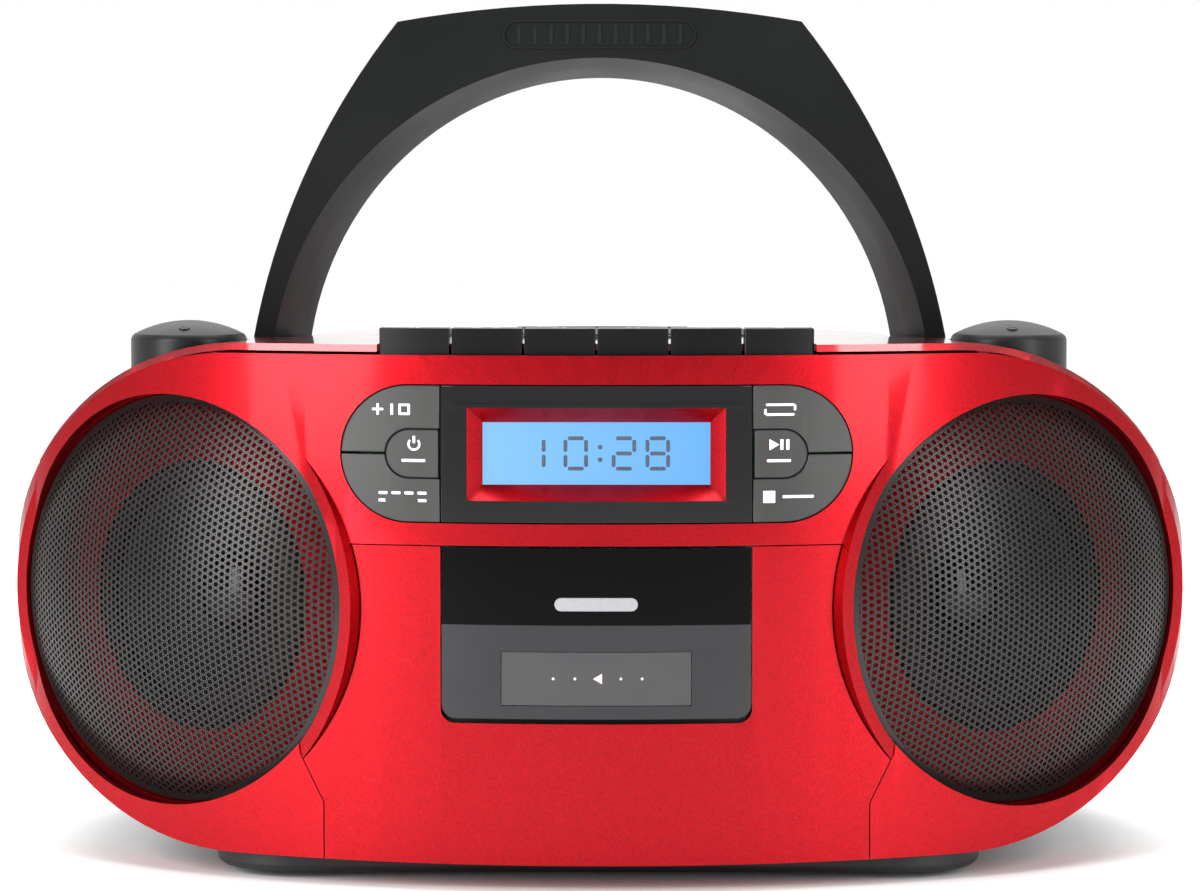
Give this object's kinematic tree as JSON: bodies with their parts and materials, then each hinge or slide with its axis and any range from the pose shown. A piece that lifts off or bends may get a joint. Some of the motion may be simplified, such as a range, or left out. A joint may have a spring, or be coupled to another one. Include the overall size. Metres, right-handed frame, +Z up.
{
  "type": "portable stereo with cassette player",
  "caption": "Portable stereo with a bowed front between two domed speaker grilles, a top-loading disc lid, a front cassette door with piano keys, and an arched folding handle.",
  "frame": {"origin": "on the surface it stands on, at the middle of its box in X and Y", "axes": "+X to the right as the user sees it, the front faces -Y, +Z up"},
  "size_m": [0.439, 0.25, 0.314],
  "materials": {
    "red_lacquer": "metallic red lacquer on moulded ABS",
    "black_shell": "moulded ABS with a fine spark texture",
    "handle_black": "moulded ABS, satin",
    "key_black": "moulded ABS, semi-gloss",
    "knob_black": "moulded ABS, satin",
    "panel_black": "polished ABS",
    "door_black": "polished ABS over a satin lower half",
    "smoke_window": "smoked clear polystyrene",
    "screen": "back-lit liquid crystal",
    "grille_steel": "perforated steel, black powder coat",
    "speaker_paper": "black pressed paper cone",
    "plated_steel": "zinc-plated sheet steel",
    "bright_steel": "polished nickel plating",
    "rubber": "moulded rubber",
    "white_acetal": "natural acetal",
    "circuit_board": "glass-fibre laminate with green solder mask",
    "brass": "turned brass",
    "core_steel": "varnished laminated steel and copper"
  },
  "bodies": {
    "cabinet": {"front_cabinet": "red_lacquer", "lower_fascia": "red_lacquer", "top_cover": "red_lacquer", "rear_cabinet": "black_shell", "base_cover": "black_shell", "rubber_feet": "rubber", "cabinet_screws": "plated_steel", "ac_inlet": "black_shell", "handle_pivot_pins": "white_acetal", "speaker_grille_left": "grille_steel", "speaker_grille_right": "grille_steel", "speaker_driver_left": "plated_steel", "speaker_driver_right": "plated_steel", "speaker_cone_left": "speaker_paper", "speaker_cone_right": "speaker_paper", "display_panel": "panel_black", "display_bezel": "red_lacquer", "lcd_module": "screen", "control_board": "circuit_board", "key_shaft": "plated_steel", "cd_well": "black_shell", "cd_chassis": "plated_steel", "pickup_rails": "bright_steel", "deck_chassis": "plated_steel", "deck_motor": "bright_steel", "drive_belt": "rubber", "power_transformer": "core_steel", "antenna_knuckle": "black_shell"},
    "handle": {"handle_front_shell": "handle_black", "handle_rear_shell": "handle_black"},
    "disc_lid": {"cd_lid": "black_shell"},
    "disc_spindle": {"cd_spindle": "black_shell"},
    "pickup_sled": {"optical_pickup": "black_shell"},
    "tape_door": {"cassette_door": "door_black", "cassette_window": "smoke_window", "cassette_holder": "black_shell"},
    "supply_reel": {"supply_hub": "white_acetal"},
    "takeup_reel": {"takeup_hub": "white_acetal"},
    "capstan": {"capstan_flywheel": "brass"},
    "pulley": {"motor_pulley": "brass"},
    "head_carriage": {"head_plate": "plated_steel", "tape_heads": "bright_steel"},
    "pinch_wheel": {"pinch_roller": "rubber"},
    "function_dial": {"function_knob": "knob_black"},
    "volume_dial": {"volume_knob": "knob_black"},
    "battery_hatch": {"battery_door": "black_shell"},
    "aerial": {"antenna_tube": "bright_steel"},
    "aerial_rod": {"antenna_rod": "bright_steel"},
    "pause_key_body": {"pause_key": "key_black"},
    "eject_key_body": {"eject_key": "key_black"},
    "forward_key_body": {"forward_key": "key_black"},
    "rewind_key_body": {"rewind_key": "key_black"},
    "deck_play_key_body": {"deck_play_key": "key_black"},
    "record_key_body": {"record_key": "key_black"},
    "preset_button_body": {"preset_button": "key_black"},
    "program_button_body": {"program_button": "key_black"},
    "repeat_button_body": {"repeat_button": "key_black"},
    "stop_button_body": {"stop_button": "key_black"},
    "mode_button_body": {"mode_button": "key_black"},
    "play_button_body": {"play_button": "key_black"}
  },
  "joints": [
    {"name": "handle_fold", "type": "hinge", "parent": "cabinet", "child": "handle", "pos_m": [0, 0.005, 0.17], "axis": [-1, 0, 0], "range_deg": [0, 90]},
    {"name": "disc_lid_open", "type": "hinge", "parent": "cabinet", "child": "disc_lid", "pos_m": [0, 0.102, 0.1865], "axis": [-1, 0, 0], "range_deg": [0, 40]},
    {"name": "disc_spin", "type": "hinge", "parent": "cabinet", "child": "disc_spindle", "pos_m": [0, 0.03, 0.17], "axis": [0, 0, 1], "continuous": true},
    {"name": "pickup_travel", "type": "slide", "parent": "cabinet", "child": "pickup_sled", "axis": [1, 0, 0], "range_m": [0, 0.032]},
    {"name": "tape_door_open", "type": "hinge", "parent": "cabinet", "child": "tape_door", "pos_m": [0, -0.1225, 0.0619], "axis": [1, 0, 0], "range_deg": [0, 22]},
    {"name": "supply_spin", "type": "hinge", "parent": "cabinet", "child": "supply_reel", "pos_m": [-0.02125, -0.1, 0.08], "axis": [0, 1, 0], "continuous": true},
    {"name": "takeup_spin", "type": "hinge", "parent": "cabinet", "child": "takeup_reel", "pos_m": [0.02125, -0.1, 0.08], "axis": [0, 1, 0], "continuous": true},
    {"name": "capstan_spin", "type": "hinge", "parent": "cabinet", "child": "capstan", "pos_m": [0.027, -0.09, 0.107], "axis": [0, 1, 0], "continuous": true},
    {"name": "pulley_spin", "type": "hinge", "parent": "cabinet", "child": "pulley", "pos_m": [-0.038, -0.09, 0.07], "axis": [0, 1, 0], "continuous": true},
    {"name": "head_travel", "type": "slide", "parent": "cabinet", "child": "head_carriage", "axis": [0, 0, -1], "range_m": [0, 0.0068]},
    {"name": "pinch_spin", "type": "hinge", "parent": "head_carriage", "child": "pinch_wheel", "pos_m": [0.027, -0.107, 0.1218], "axis": [0, 1, 0], "continuous": true},
    {"name": "function_turn", "type": "hinge", "parent": "cabinet", "child": "function_dial", "pos_m": [-0.149, -0.054, 0.185], "axis": [0, 0, -1], "range_deg": [0, 90]},
    {"name": "volume_turn", "type": "hinge", "parent": "cabinet", "child": "volume_dial", "pos_m": [0.149, -0.054, 0.185], "axis": [0, 0, -1], "range_deg": [0, 300]},
    {"name": "battery_door_open", "type": "hinge", "parent": "cabinet", "child": "battery_hatch", "pos_m": [0, 0.1239, 0.0296], "axis": [-1, 0, 0], "range_deg": [0, 90]},
    {"name": "aerial_tilt", "type": "hinge", "parent": "cabinet", "child": "aerial", "pos_m": [-0.15, 0.122, 0.1315], "axis": [0, -1, 0], "range_deg": [0, 90]},
    {"name": "aerial_extend", "type": "slide", "parent": "aerial", "child": "aerial_rod", "axis": [1, 0, 0], "range_m": [0, 0.165]},
    {"name": "pause_key_press", "type": "hinge", "parent": "cabinet", "child": "pause_key_body", "pos_m": [0, -0.095, 0.18], "axis": [1, 0, 0], "range_deg": [0, 6], "stiffness_Nm_per_rad": 0.4, "springref_deg": -5.73},
    {"name": "eject_key_press", "type": "hinge", "parent": "cabinet", "child": "eject_key_body", "pos_m": [0, -0.095, 0.18], "axis": [1, 0, 0], "range_deg": [0, 6], "stiffness_Nm_per_rad": 0.4, "springref_deg": -5.73},
    {"name": "forward_key_press", "type": "hinge", "parent": "cabinet", "child": "forward_key_body", "pos_m": [0, -0.095, 0.18], "axis": [1, 0, 0], "range_deg": [0, 6], "stiffness_Nm_per_rad": 0.4, "springref_deg": -5.73},
    {"name": "rewind_key_press", "type": "hinge", "parent": "cabinet", "child": "rewind_key_body", "pos_m": [0, -0.095, 0.18], "axis": [1, 0, 0], "range_deg": [0, 6], "stiffness_Nm_per_rad": 0.4, "springref_deg": -5.73},
    {"name": "deck_play_key_press", "type": "hinge", "parent": "cabinet", "child": "deck_play_key_body", "pos_m": [0, -0.095, 0.18], "axis": [1, 0, 0], "range_deg": [0, 6], "stiffness_Nm_per_rad": 0.4, "springref_deg": -5.73},
    {"name": "record_key_press", "type": "hinge", "parent": "cabinet", "child": "record_key_body", "pos_m": [0, -0.095, 0.18], "axis": [1, 0, 0], "range_deg": [0, 6], "stiffness_Nm_per_rad": 0.4, "springref_deg": -5.73},
    {"name": "preset_button_press", "type": "slide", "parent": "cabinet", "child": "preset_button_body", "axis": [0, 1, 0], "range_m": [0, 0.0012], "stiffness_N_per_m": 400, "springref_m": -0.0005},
    {"name": "program_button_press", "type": "slide", "parent": "cabinet", "child": "program_button_body", "axis": [0, 1, 0], "range_m": [0, 0.0012], "stiffness_N_per_m": 400, "springref_m": -0.0005},
    {"name": "repeat_button_press", "type": "slide", "parent": "cabinet", "child": "repeat_button_body", "axis": [0, 1, 0], "range_m": [0, 0.0012], "stiffness_N_per_m": 400, "springref_m": -0.0005},
    {"name": "stop_button_press", "type": "slide", "parent": "cabinet", "child": "stop_button_body", "axis": [0, 1, 0], "range_m": [0, 0.0012], "stiffness_N_per_m": 400, "springref_m": -0.0005},
    {"name": "mode_button_press", "type": "slide", "parent": "cabinet", "child": "mode_button_body", "axis": [0, 1, 0], "range_m": [0, 0.0012], "stiffness_N_per_m": 400, "springref_m": -0.0005},
    {"name": "play_button_press", "type": "slide", "parent": "cabinet", "child": "play_button_body", "axis": [0, 1, 0], "range_m": [0, 0.0012], "stiffness_N_per_m": 400, "springref_m": -0.0005}
  ],
  "couplings": [
    {"joint": "pulley_spin", "follows": "capstan_spin", "ratio": 4},
    {"joint": "deck_play_key_press", "follows": "head_travel", "rad_per_m": 15.385}
  ]
}
